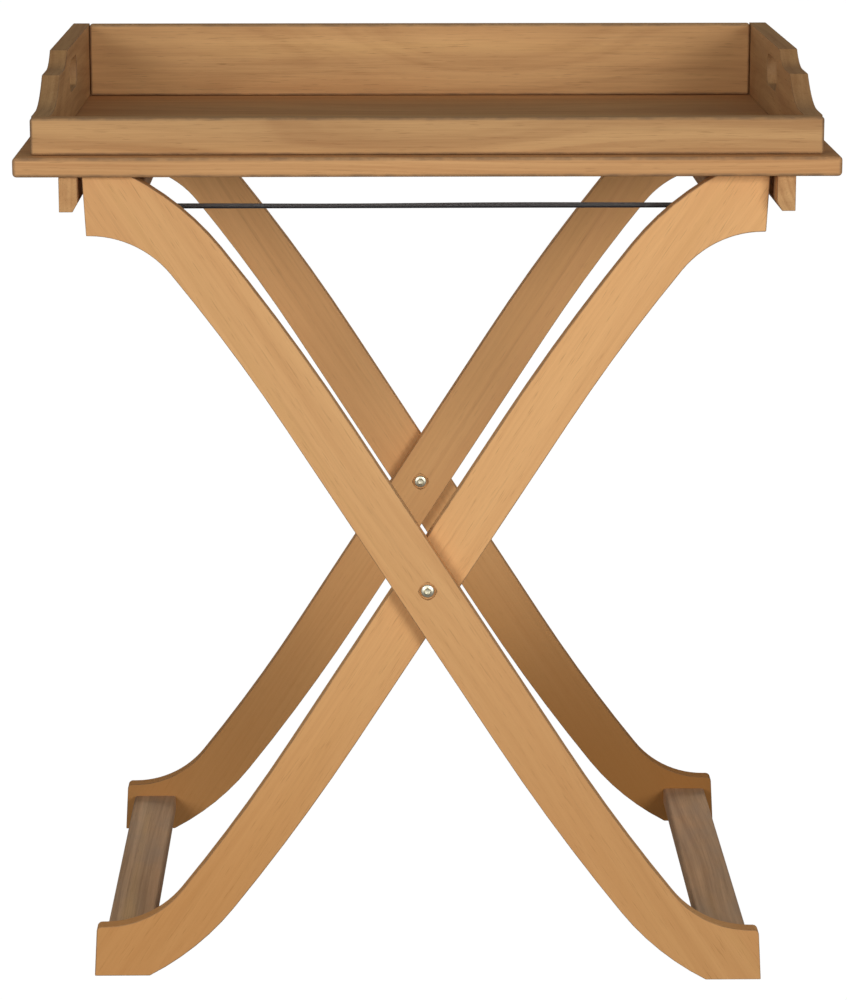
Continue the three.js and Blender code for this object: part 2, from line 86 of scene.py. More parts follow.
class TimberSettings(bpy.types.PropertyGroup):
    """Colours and edges of the wooden pieces."""

    board_roundover: length_property("Board roundover", "Radius on the tray board's edges", 3.2)
    gallery_roundover: length_property("Gallery roundover", "Radius on the gallery's edges", 2.6)
    leg_roundover: length_property("Leg roundover", "Radius on the legs' edges", 1.9)
    rail_roundover: length_property("Rail roundover", "Radius on the cross rails' edges", 2.2)
    batten_roundover: length_property("Batten roundover", "Radius on the battens' edges", 2.0)
    leg_grain: bpy.props.FloatProperty(
        name="Leg grain", description="Slope of the grain in a leg, from level",
        default=math.radians(57), subtype="ANGLE")
    tray_pale: colour_property("Tray, pale grain", "Early wood of the gallery", 222, 176, 120)
    tray_deep: colour_property("Tray, deep grain", "Late wood of the gallery", 164, 116, 72)
    board_pale: colour_property("Board, pale grain", "Early wood of the tray board", 224, 175, 119)
    board_deep: colour_property("Board, deep grain", "Late wood of the tray board", 180, 128, 81)
    leg_pale: colour_property("Leg, pale grain", "Early wood of the legs", 234, 183, 124)
    leg_deep: colour_property("Leg, deep grain", "Late wood of the legs", 194, 138, 86)
    rail_pale: colour_property("Rail, pale grain", "Early wood of the cross rails", 182, 150, 116)
    rail_deep: colour_property("Rail, deep grain", "Late wood of the cross rails", 124, 96, 70)
    dowel: colour_property("Dowel", "Plain beech of the dowels", 222, 196, 156)


class FittingSettings(bpy.types.PropertyGroup):
    """Sizes and colours of the pivots, screws and straps."""

    head_height: length_property("Head height", "Height of a pivot head's dome and rim", 2.9)
    dome_height: length_property("Dome height", "Rounded part of a pivot head", 1.4)
    shank_radius: length_property("Shank radius", "Radius of the pivot bolt", 3.0)
    sleeve_radius: length_property("Sleeve radius", "Outer radius of the cap nut's sleeve", 4.2)
    key_radius: length_property("Key radius", "Half the width of the hexagon socket", 2.3)
    key_depth: length_property("Key depth", "Depth of the hexagon socket", 2.4)
    screw_shank: length_property("Screw shank", "Radius of a wood screw's shank", 1.8)
    screw_head: length_property("Screw head", "Height of a countersunk head", 2.4)
    screw_point: length_property("Screw point", "Length of a screw's point", 4.0)
    weave_pitch: length_property("Weave pitch", "Width of one rib of the webbing", 1.3)
    strap_ripple: length_property("Strap ripple", "How far the webbing wanders from flat", 0.25)
    nickel: colour_property("Nickel", "Plating of the pivot heads", 238, 232, 208)
    zinc: colour_property("Zinc", "Plating of the screws and washers", 176, 174, 164)
    nylon: colour_property("Nylon", "Washers between the legs", 36, 36, 38)
    webbing: colour_property("Webbing", "Woven straps", 52, 50, 54)


class StudioSettings(bpy.types.PropertyGroup):
    """Camera, lights and floor."""

    eye: bpy.props.FloatVectorProperty(
        name="Eye", description="Where the camera stands", subtype="TRANSLATION",
        default=(-0.0449, -3.0504, 1.04065))
    pitch: bpy.props.FloatProperty(
        name="Pitch", description="How far the camera looks down", default=0.2203,
        subtype="ANGLE")
    yaw: bpy.props.FloatProperty(
        name="Yaw", description="How far the camera turns to the right", default=0.0147,
        subtype="ANGLE")
    lens: bpy.props.FloatProperty(
        name="Lens", description="Focal length on a 36 mm frame height", default=130.2)
    left_power: bpy.props.FloatProperty(
        name="Left light", description="Power of the light at the left, in watts", default=55.0)
    right_power: bpy.props.FloatProperty(
        name="Right light", description="Power of the light at the right, in watts",
        default=65.0)
    back_power: bpy.props.FloatProperty(
        name="Back light", description="Power of the light behind, in watts", default=64.0)
    sky: bpy.props.FloatProperty(
        name="Sky", description="Strength of the even light from all round", default=0.15)
    floor_grey: bpy.props.FloatProperty(
        name="Floor grey", description="How much light the floor throws back", default=0.2,
        min=0.0, max=1.0)
    floor_glow: bpy.props.FloatProperty(
        name="Floor glow", description="How much of the floor's own white the camera sees",
        default=0.9, min=0.0, max=1.0)


# ------------------------------------------------------------------ shader building

class Value:
    """A number or vector socket of a shader, which takes part in arithmetic."""

    def __init__(self, shader, socket):
        self.shader = shader
        self.socket = socket

    def maths(self, operation, *others):
        return self.shader.node("ShaderNodeMath", {"operation": operation},
                                dict(enumerate((self, *others))))

    def __add__(self, other):
        return self.maths("ADD", other)

    def __sub__(self, other):
        return self.maths("SUBTRACT", other)

    def __rsub__(self, other):
        return self.shader.node("ShaderNodeMath", {"operation": "SUBTRACT"}, {0: other, 1: self})

    def __mul__(self, other):
        return self.maths("MULTIPLY", other)

    def __pow__(self, other):
        return self.maths("POWER", other)

    __radd__ = __add__

    def clamped(self):
        return self.shader.node("ShaderNodeClamp", {}, {"Value": self})

    def ramp(self, low, high):
        """0 below low, 1 above high, and a smooth step between."""
        settings = {"interpolation_type": "SMOOTHSTEP"}
        inputs = {"Value": self, "From Min": low, "From Max": high}
        return self.shader.node("ShaderNodeMapRange", settings, inputs)


class Shader:
    """One procedural material."""

    def __init__(self, name):
        self.material = bpy.data.materials.new(name)
        self.material.use_nodes = True
        self.tree = self.material.node_tree
        self.surface = self.tree.nodes["Principled BSDF"]

    def node(self, kind, settings, inputs, output=0):
        """Adds a node: its settings first, then its sockets' values or links."""
        made = self.tree.nodes.new(kind)
        for name, value in settings.items():
            setattr(made, name, value)
        for name, value in inputs.items():
            if isinstance(value, Value):
                self.tree.links.new(value.socket, made.inputs[name])
            else:
                made.inputs[name].default_value = value
        return Value(self, made.outputs[output])

    def place(self, turn=(0, 0, 0), shift=(0, 0, 0)):
        """Object coordinates in metres, turned and shifted."""
        here = self.node("ShaderNodeTexCoord", {}, {}, "Object")
        return self.node("ShaderNodeMapping", {}, {"Vector": here, "Rotation": turn,
                                                   "Location": shift})

    def stretched(self, place, along, across):
        """A place scaled along X and across it, in cycles for each metre."""
        return self.node("ShaderNodeMapping", {}, {"Vector": place,
                                                   "Scale": (along, across, across)})

    def noise(self, place, scale=1.0, detail=2.0, roughness=0.5, distortion=0.0):
        return self.node("ShaderNodeTexNoise", {}, {
            "Vector": place, "Scale": scale, "Detail": detail, "Roughness": roughness,
            "Distortion": distortion})

    def axes(self, place):
        """The three coordinates of a place."""
        split = self.node("ShaderNodeSeparateXYZ", {}, {"Vector": place})
        return [Value(self, socket) for socket in split.socket.node.outputs]

    def attribute(self, name):
        """What a mesh says of each of its points or faces under that name."""
        return self.node("ShaderNodeAttribute", {"attribute_name": name}, {}, "Fac")

    def mix(self, factor, first, second):
        return self.node("ShaderNodeMix", {"data_type": "RGBA"},
                         {0: factor, 6: first, 7: second}, 2)

    def finish(self, links, constants):
        """Links what varies and sets what doesn't on the surface."""
        for name, value in links.items():
            self.tree.links.new(value.socket, self.surface.inputs[name])
        for name, value in constants.items():
            self.surface.inputs[name].default_value = value
        return self.material

    def bump(self, height, distance, strength):
        return self.node("ShaderNodeBump", {}, {"Height": height, "Distance": distance,
                                                "Strength": strength})


def scene_colour(colour, shade=1.0):
    """A swatch colour as the four numbers that a colour socket takes."""
    made = Color(colour).from_srgb_to_scene_linear()
    return (made.r * shade, made.g * shade, made.b * shade, 1.0)


def shaded(colour, shade):
    """A socket's colour made lighter or darker."""
    return tuple(shade * channel for channel in colour[:3]) + (1.0,)


# ------------------------------------------------------------------ finishes

GRAIN_ALONG_X = (0.0, 0.0, 0.0)
GRAIN_ALONG_Y = (0.0, 0.0, math.radians(-90))


# Features of timber, each as (cycles along the grain, cycles across it) for each metre.
DRIFT = (2.2, 9.0)
STREAKS = (3.2, 95.0)
FIBRES = (14.0, 900.0)
PORES = (55.0, 1500.0)
FLECKS = (5.0, 260.0)
WARMTH = (2.0, 12.0)
STRAW = (1.4, 34.0)
BLOTCHES = (9.0, 26.0)

# Growth rings: the line they grow about, how far it wanders, and their number for each metre.
HEART_ACROSS, HEART_THROUGH = 0.09, -0.21
RING_SQUASH = 1.6
RING_WANDER = 0.05
RINGS_PER_METRE = 190.0

# Tones that timber takes on, as swatch colours.
WARM_TONE = (0.82, 0.53, 0.30)
GOLDEN_TONE = (0.86, 0.70, 0.43)
WEATHERED_TONE = (0.51, 0.45, 0.39)
# The tone of the painted shade towards the floor.
FLOOR_SHADE_TONE = (0.77, 0.51, 0.22)
# The grey-brown of the rounded edges: partly wear, partly painted shade.
EDGE_WEAR_AND_SHADE_TONE = (0.45, 0.37, 0.30)

# The plainest wood lies this far from pale to deep; pores and end grain are darker than deep.
BASE_DEPTH = 0.12
DARK_SHADE = 0.42

# Shares that each feature takes of the colour where it is strongest.
WARM_SHARE = 0.16
STRAW_SHARE = 0.6
PORE_SHARE = 0.3
FLECK_SHARE = 0.1
EDGE_WEAR_AND_SHADE_SHARE = 0.6

# The painted shade near the floor fades out between these heights, in metres.
FLOOR_SHADE_LOW, FLOOR_SHADE_HIGH = 0.02, 0.42

WEAR_PER_METRE = 60.0
WOOD_ROUGHNESS = 0.68
WOOD_SPECULAR = 0.26
GRAIN_DEPTH = 0.04 * MM


def wood(name, pale, deep, turn, plank, figure=0.3, streak=0.3, shade=1.0, weathered=0.0,
         painted_floor_shade=0.0, ends=0.0):
    """Oiled hardwood. The grain runs along X once the piece is turned by `turn`; `plank` picks
    the place in the tree that the piece was cut from; `figure` is the strength of the rings,
    `streak` that of the fibres, `shade` the lightness of the whole, `weathered` the strength of
    grey blotches, `painted_floor_shade` that of the painted shade that darkens the wood towards
    the floor, and `ends` says how much darker the end grain has taken the oil."""
    shader = Shader(name)
    place = shader.place(turn, plank)
    pale, deep = scene_colour(pale, shade), scene_colour(deep, shade)
    dark = shaded(deep, DARK_SHADE)

    def feature(cycles, **settings):
        return shader.noise(shader.stretched(place, *cycles), **settings)

    rings = growth_rings(shader, place, feature(DRIFT, detail=1.0))
    streaks = feature(STREAKS, detail=4.0, roughness=0.6, distortion=0.3)
    fibres = feature(FIBRES, detail=3.0, roughness=0.65)
    pores = feature(PORES, detail=1.0).ramp(0.63, 0.76)
    flecks = feature(FLECKS).ramp(0.58, 0.74)

    depth = (rings * figure + streaks.ramp(0.25, 0.78) * streak
             + fibres.ramp(0.3, 0.7) * (0.5 * streak) + BASE_DEPTH).clamped()
    colour = shader.mix(depth, pale, deep)

    # The tone drifts towards orange in places, and yellower in others.
    warmth = feature(WARMTH).ramp(0.38, 0.68) * WARM_SHARE
    colour = shader.mix(warmth, colour, scene_colour(WARM_TONE, shade))
    straw = feature(STRAW, scale=1.3).ramp(0.52, 0.78) * (STRAW_SHARE * streak)
    colour = shader.mix(straw, colour, scene_colour(GOLDEN_TONE, shade))
    colour = shader.mix(pores * PORE_SHARE, colour, dark)
    colour = shader.mix(flecks * FLECK_SHARE, colour, dark)

    if weathered:
        blotches = feature(BLOTCHES, detail=4.0, roughness=0.6).ramp(0.34, 0.7) * weathered
        colour = shader.mix(blotches, colour, scene_colour(WEATHERED_TONE, shade))
    if ends:
        colour = shader.mix(shader.attribute("end_grain") * ends, colour, dark)
    # Painted shade: towards the floor the wood is painted darker and more orange, standing in for
    # the shade the lower legs lie in.
    if painted_floor_shade:
        height = shader.axes(shader.place())[2]
        floor_shade_mask = (1.0 - height.ramp(FLOOR_SHADE_LOW, FLOOR_SHADE_HIGH)) * (2.0 * painted_floor_shade)
        colour = shader.mix(floor_shade_mask, colour, scene_colour(FLOOR_SHADE_TONE, shade * (1.0 - painted_floor_shade)))

    # The rounded edges are painted darker and grey-brown in patches: partly wear, where handling
    # has taken some of the oil off and left them duller, and partly painted shade for the dark
    # lines that rounded edges show.
    patches = shader.noise(place, WEAR_PER_METRE, 3.0, 0.6).ramp(0.3, 0.7) * 0.6 + 0.4
    worn_and_shaded_edge = shader.attribute("edge") * patches
    colour = shader.mix(worn_and_shaded_edge * EDGE_WEAR_AND_SHADE_SHARE, colour, scene_colour(EDGE_WEAR_AND_SHADE_TONE, shade))

    relief = fibres * 0.5 + streaks * 0.35 - pores * 0.6 - flecks * 0.12
    return shader.finish(
        {"Base Color": colour,
         "Roughness": WOOD_ROUGHNESS + fibres * 0.1 + pores * 0.1 + worn_and_shaded_edge * 0.1,
         "Normal": shader.bump(relief, GRAIN_DEPTH, 0.6)},
        {"Specular IOR Level": WOOD_SPECULAR})


def growth_rings(shader, place, drift):
    """Shells about a wandering line that lies well outside the piece."""
    _, across, through = shader.axes(place)
    radius = ((across + HEART_ACROSS) ** 2.0
              + (through * RING_SQUASH + HEART_THROUGH) ** 2.0) ** 0.5
    rings = shader.node("ShaderNodeTexNoise", {"noise_dimensions": "1D"},
                        {"W": radius + drift * RING_WANDER, "Scale": RINGS_PER_METRE,
                         "Detail": 3.0, "Roughness": 0.62})
    return rings.ramp(0.3, 0.72)


# Plated metal: turning lines as (cycles along X, cycles across it) for each metre, and spots.
TURNING_LINES = (500.0, 3800.0)
TURNING_DEPTH = 0.04 * MM
SPOTS_PER_METRE = 420.0
TARNISH_SHADE = 0.6


def plated(name, colour, roughness, brushing):
    """Plated metal: fine turning lines and a few duller spots."""
    shader = Shader(name)
    place = shader.place()
    lines = shader.noise(shader.stretched(place, *TURNING_LINES), detail=2.0)
    spots = shader.noise(place, SPOTS_PER_METRE, 3.0, 0.6).ramp(0.5, 0.75)
    swatch = scene_colour(colour)
    return shader.finish(
        {"Base Color": shader.mix(spots * 0.45, swatch, shaded(swatch, TARNISH_SHADE)),
         "Roughness": roughness + spots * 0.2 + lines * 0.08,
         "Normal": shader.bump(lines, TURNING_DEPTH, brushing)},
        {"Metallic": 1.0})


# Moulded plastic: the dimples of its skin.
DIMPLES_PER_METRE = 1800.0
DIMPLE_DEPTH = 0.05 * MM
DIMPLE_SHADE = 1.6


def moulded(name, colour):
    """Matt moulded plastic with a faint orange-peel skin."""
    shader = Shader(name)
    skin = shader.noise(shader.place(), DIMPLES_PER_METRE, 2.0)
    swatch = scene_colour(colour)
    lighter = shaded(swatch, DIMPLE_SHADE)
    return shader.finish(
        {"Base Color": shader.mix(skin.ramp(0.4, 0.8) * 0.5, swatch, lighter),
         "Roughness": 0.5 + skin * 0.2,
         "Normal": shader.bump(skin, DIMPLE_DEPTH, 0.4)},
        {"Specular IOR Level": 0.4})


# Webbing: rows of weft are wider than ribs of warp, and loose fibres lie over both. The hollows
# between the ribs are painted darker, as painted shade.
WEFT_PITCH = 1.5
FUZZ_PER_METRE = 2600.0
WEAVE_DEPTH = 0.3 * MM
FUZZ_SHADE, HOLLOW_PAINTED_SHADE = 2.2, 0.35


def woven(name, colour, pitch):
    """Ribbed webbing: warp ribs along X, crossed by the weft in alternate rows."""
    shader = Shader(name)
    place = shader.place()
    along, across, _ = shader.axes(place)
    warp_angle = across * (2 * math.pi / pitch)
    weft_angle = along * (2 * math.pi / (pitch * WEFT_PITCH)) + warp_angle * 0.5
    ribs = warp_angle.maths("SINE") * 0.5 + 0.5
    weft = weft_angle.maths("SINE") * 0.5 + 0.5
    fuzz = shader.noise(place, FUZZ_PER_METRE, 3.0, 0.7)
    swatch = scene_colour(colour)
    # Painted shade: the weave's hollows are painted darker than its ribs.
    tone = shader.mix((ribs * weft).ramp(0.0, 0.5), shaded(swatch, HOLLOW_PAINTED_SHADE), swatch)
    tone = shader.mix(fuzz.ramp(0.55, 0.8) * 0.35, tone, shaded(swatch, FUZZ_SHADE))
    return shader.finish(
        {"Base Color": tone,
         "Roughness": 0.72 + fuzz * 0.2,
         "Normal": shader.bump(ribs * 0.6 + weft * 0.4 + fuzz * 0.25, WEAVE_DEPTH, 0.8)},
        {"Sheen Weight": 0.25, "Sheen Roughness": 0.5, "Specular IOR Level": 0.3})


# ------------------------------------------------------------------ making pieces

SHARP = math.radians(30)
CREASE = math.radians(38)
FLAT = math.radians(0.4)
ROUNDOVER_STEPS = 4
FIXING_MARGIN = 1.5 * MM
WELD = 0.01 * MM


def new_piece(name, shape, material):
    """Makes an object of a finished bmesh, which it frees."""
    mesh = bpy.data.meshes.new(name)
    shape.to_mesh(mesh)
    shape.free()
    mesh.shade_smooth()
    mesh.set_sharp_from_angle(angle=CREASE)
    mesh.materials.append(material)
    piece = bpy.data.objects.new(name, mesh)
    bpy.context.scene.collection.objects.link(piece)
    return piece


def fit(piece, body, slot, *nodes):
    """Puts a piece on its body and in place of the frame's nodes."""
    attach(piece, body)
    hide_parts(*nodes)


def within(box, point, margin):
    low, high = box
    return all(low[axis] - margin < point[axis] < high[axis] + margin for axis in range(3))


def eased_timber(node, body, slot, material, radius, fixings=(), shortest=0.0, grain=RIGHT):
    """Copies a timber node, rounds its sharp edges over and marks its end grain. Edges at the
    fixings, and edges shorter than `shortest`, stay as they are."""
    shape = bmesh.new()
    shape.from_mesh(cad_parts[node].data)
    bmesh.ops.remove_doubles(shape, verts=shape.verts, dist=WELD)
    bmesh.ops.dissolve_limit(shape, angle_limit=FLAT, verts=shape.verts, edges=shape.edges)
    rounded = shape.verts.layers.float.new("edge")
    boxes = [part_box(fixing) for fixing in fixings]
    edges = []
    for edge in shape.edges:
        middle = (edge.verts[0].co + edge.verts[1].co) / 2
        if (edge.is_manifold and edge.calc_face_angle() > SHARP
                and edge.calc_length() > shortest
                and not any(within(box, middle, FIXING_MARGIN) for box in boxes)):
            edges.append(edge)
    made = bmesh.ops.bevel(shape, geom=edges, offset=radius, offset_type="OFFSET",
                           affect="EDGES", segments=ROUNDOVER_STEPS, profile=0.5, material=-1,
                           clamp_overlap=True)
    strips = set(made["faces"])
    for vert in shape.verts:
        inner = bool(vert.link_faces) and all(face in strips for face in vert.link_faces)
        vert[rounded] = 1.0 if inner else 0.0
    # 1 on faces square to the grain, and 0 on those within about 20 degrees of running with it.
    end_grain = shape.faces.layers.float.new("end_grain")
    for face in shape.faces:
        face.normal_update()
        face[end_grain] = max(0.0, abs(face.normal.dot(grain)) * 1.5 - 0.5)
    piece = new_piece(node + "_timber", shape, material)
    weighted = piece.modifiers.new("Weighted Normal", "WEIGHTED_NORMAL")
    weighted.keep_sharp = True
    fit(piece, body, slot, node)


def turned_shape(profile, start, direction, steps=48, socket=None, lobes=0):
    """Spins a profile of (radius, height) about a line from `start` along `direction`. Where
    `socket` is given, the rings of that radius are pressed into a regular opening with that
    many lobes: six make a hexagon, four a cross."""
    shape = bmesh.new()
    verts = [shape.verts.new((radius, 0.0, height)) for radius, height in profile]
    edges = [shape.edges.new(pair) for pair in zip(verts, verts[1:])]
    bmesh.ops.spin(shape, geom=verts + edges, cent=(0, 0, 0), axis=(0, 0, 1), dvec=(0, 0, 0),
                   angle=2 * math.pi, steps=steps, use_merge=True)
    bmesh.ops.remove_doubles(shape, verts=shape.verts, dist=WELD)
    if socket:
        for vert in shape.verts:
            if abs(vert.co.xy.length - socket) < WELD:
                angle = math.atan2(vert.co.y, vert.co.x)
                vert.co.xy *= opening(angle, lobes)
    bmesh.ops.recalc_face_normals(shape, faces=shape.faces)
    turn = UP.rotation_difference(direction).to_matrix().to_4x4()
    bmesh.ops.transform(shape, matrix=Matrix.Translation(start) @ turn, verts=shape.verts)
    return shape


HEXAGON, CROSS = 6, 4
CROSS_HUB = 0.3  # the middle of a cross opening as a share of its reach


def opening(angle, lobes):
    """How far a driver's opening reaches at an angle, as a share of its radius."""
    if lobes == HEXAGON:
        sector = 2 * math.pi / HEXAGON
        return math.cos(sector / 2) / math.cos((angle % sector) - sector / 2)
    slot_end = abs(math.cos(angle * lobes / 2)) ** 6
    return CROSS_HUB + (1 - CROSS_HUB) * slot_end


# ------------------------------------------------------------------ tray

def fixings(*starts):
    return [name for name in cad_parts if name.startswith(starts)]


class TRAYTABLE_OT_board(bpy.types.Operator):
    """Round over and finish the tray board"""

    bl_idname = "tray_table.board"
    bl_label = "Tray Board"

    def execute(self, context):
        timber = context.scene.tray_table_timber
        finish = wood("tray_board_wood", timber.board_pale, timber.board_deep, GRAIN_ALONG_X,
                      plank=(0.7, 0.11, 0.03))
        eased_timber("tray_board", "tray", "tray_wood", finish, timber.board_roundover,
                     fixings("batten_screw", "gallery_screw"))
        return {"FINISHED"}


class TRAYTABLE_OT_gallery(bpy.types.Operator):
    """Round over and finish the gallery round the tray"""

    bl_idname = "tray_table.gallery"
    bl_label = "Gallery"

    def execute(self, context):
        timber = context.scene.tray_table_timber
        held = fixings("gallery_screw", "front_dowel", "back_dowel")
        # Columns: grain turn, plank, figure and lightness. The side panels' lightness of 0.78 is
        # painted shade, darkening the whole panel for the shade on its inner face.
        planks = {
            "front_rail": (GRAIN_ALONG_X, (2.1, 0.34, -0.61), 0.3, 0.92),
            "back_panel": (GRAIN_ALONG_X, (3.3, 0.92, -0.58), 0.2, 1.06),
            "side_panel_left": (GRAIN_ALONG_Y, (4.2, 0.25, -0.66), 0.25, 0.78),
            "side_panel_right": (GRAIN_ALONG_Y, (5.6, -0.41, -0.62), 0.25, 0.78),
        }
        for node, (turn, plank, figure, shade) in planks.items():
            finish = wood(node + "_wood", timber.tray_pale, timber.tray_deep, turn, plank,
                          figure=figure, shade=shade, ends=0.6)
            eased_timber(node, "tray", "tray_wood", finish, timber.gallery_roundover, held,
                         grain=RIGHT if turn == GRAIN_ALONG_X else BACK)
        return {"FINISHED"}


class TRAYTABLE_OT_battens(bpy.types.Operator):
    """Round over and finish the battens under the tray board"""

    bl_idname = "tray_table.battens"
    bl_label = "Battens"

    def execute(self, context):
        timber = context.scene.tray_table_timber
        for index, side in enumerate(SIDES):
            finish = wood(f"batten_{side}_wood", timber.tray_pale, timber.tray_deep,
                          GRAIN_ALONG_Y, plank=(6.4 + index, 0.3 * index, -0.55),
                          figure=0.35)
            eased_timber(f"batten_{side}", "tray", "tray_wood", finish, timber.batten_roundover,
                         fixings(f"batten_screw_{side}"))
        return {"FINISHED"}


# ------------------------------------------------------------------ stand

class TRAYTABLE_OT_legs(bpy.types.Operator):
    """Round over and finish the four curved legs"""

    bl_idname = "tray_table.legs"
    bl_label = "Legs"

    def execute(self, context):
        timber = context.scene.tray_table_timber
        # The last column is the painted shade towards the floor: how much darker each leg's lower
        # part is painted, most on the rear legs.
        planks = {
            "outer_leg_front": (-1, (8.1, 0.52, -0.13), 1.0, 0.15),
            "outer_leg_rear": (-1, (9.3, -0.33, -0.21), 1.04, 0.45),
            "inner_leg_front": (1, (10.4, 0.61, -0.17), 1.12, 0.25),
            "inner_leg_rear": (1, (11.7, -0.14, -0.25), 0.98, 0.34),
        }
        for node, (slope, plank, shade, painted_floor_shade) in planks.items():
            pair = node.split("_")[0]
            angle = slope * timber.leg_grain
            finish = wood(node + "_wood", timber.leg_pale, timber.leg_deep, (0.0, angle, 0.0),
                          plank, figure=0.14, streak=0.2, shade=shade, painted_floor_shade=painted_floor_shade, ends=0.5)
            held = fixings("pivot", f"{pair}_top_rail", f"{pair}_bottom_rail")
            eased_timber(node, f"{pair}_frame", "stand_wood", finish, timber.leg_roundover,
                         held, grain=Vector((math.cos(angle), 0, math.sin(angle))))
        return {"FINISHED"}


class TRAYTABLE_OT_cross_rails(bpy.types.Operator):
    """Round over and finish the rails between the legs"""

    bl_idname = "tray_table.cross_rails"
    bl_label = "Cross Rails"

    def execute(self, context):
        timber = context.scene.tray_table_timber
        names = [(pair, f"{pair}_{level}_rail") for pair in ("outer", "inner")
                 for level in ("top", "bottom")]
        for index, (pair, node) in enumerate(names):
            # shade=1.5 is painted light: the rails are painted half again as light, in place of
            # the sheen they catch from the lamp behind.
            finish = wood(node + "_wood", timber.rail_pale, timber.rail_deep, GRAIN_ALONG_Y,
                          plank=(12.5 + 1.3 * index, 0.4 - 0.2 * index, 0.1),
                          streak=0.35, shade=1.5, weathered=0.45)
            low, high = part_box(node)
            eased_timber(node, f"{pair}_frame", "rail_wood", finish, timber.rail_roundover,
                         fixings("strap_screw"), shortest=0.5 * (high.y - low.y))
        return {"FINISHED"}


# ------------------------------------------------------------------ fittings

HOLE_PLAY = 1.1  # a hole's radius as a share of its shank's
RIM = 0.3 * MM
SHANK_CHAMFER = 0.6 * MM
DOME_STEPS = range(54, -1, -9)  # degrees round the dome, ending at its rim


class TRAYTABLE_OT_pivots(bpy.types.Operator):
    """Turn the bolts, cap nuts and washers of the two pivots"""

    bl_idname = "tray_table.pivots"
    bl_label = "Pivots"

    def execute(self, context):
        fitting = context.scene.tray_table_fittings
        nickel = plated("pivot_nickel", fitting.nickel, 0.4, 0.3)
        nylon = moulded("pivot_nylon", fitting.nylon)
        for end, sign in zip(ENDS, (-1, 1)):
            self.headed(f"pivot_bolt_{end}", -sign * BACK, fitting, nickel,
                        fitting.shank_radius, None)
            self.headed(f"pivot_nut_{end}", sign * BACK, fitting, nickel,
                        fitting.sleeve_radius, fitting.shank_radius * HOLE_PLAY)
            self.washer(f"pivot_washer_{end}", fitting, nylon)
        return {"FINISHED"}

    def headed(self, node, direction, fitting, material, shank, bore):
        """A domed head on a shank that runs along `direction`. A bore makes it a sleeve."""
        low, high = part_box(node)
        centre = (low + high) / 2
        length, head = high.y - low.y, (high.x - low.x) / 2
        socket, depth = fitting.key_radius, fitting.key_depth
        skirt = fitting.head_height
        recess = [(0.0, depth * 1.15), (socket * 0.98, depth), (socket, depth * 0.3),
                  (socket * 1.22, fitting.dome_height * 0.02)]
        dome = [(head * math.cos(angle), fitting.dome_height * (1 - math.sin(angle)))
                for angle in map(math.radians, DOME_STEPS)]
        profile = [*recess, *dome, (head, skirt - RIM), (head - RIM, skirt), (shank, skirt)]
        if bore:
            profile += [(shank, length), (bore, length), (bore, skirt), (0.0, skirt)]
        else:
            profile += [(shank, length - SHANK_CHAMFER), (shank - SHANK_CHAMFER, length),
                        (0.0, length)]
        shape = turned_shape(profile, centre - direction * (length / 2), direction,
                             socket=socket, lobes=HEXAGON)
        fit(new_piece(node + "_turned", shape, material), "outer_frame", "nickel", node)

    def washer(self, node, fitting, material):
        low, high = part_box(node)
        centre = (low + high) / 2
        radius, bore = (high.x - low.x) / 2, fitting.shank_radius * HOLE_PLAY
        thick = high.y - low.y
        ease = 0.15 * MM
        profile = [(bore, ease), (bore + ease, 0), (radius - ease, 0), (radius, ease),
                   (radius, thick - ease), (radius - ease, thick), (bore + ease, thick),
                   (bore, thick - ease), (bore, ease)]
        shape = turned_shape(profile, Vector((centre.x, low.y, centre.z)), BACK)
        fit(new_piece(node + "_turned", shape, material), "outer_frame", "nylon", node)


CROSS_SPAN = 0.62  # the cross opening's reach as a share of the head's radius
SCREW_STEPS = 32
WASHER_PLAY = 1.15


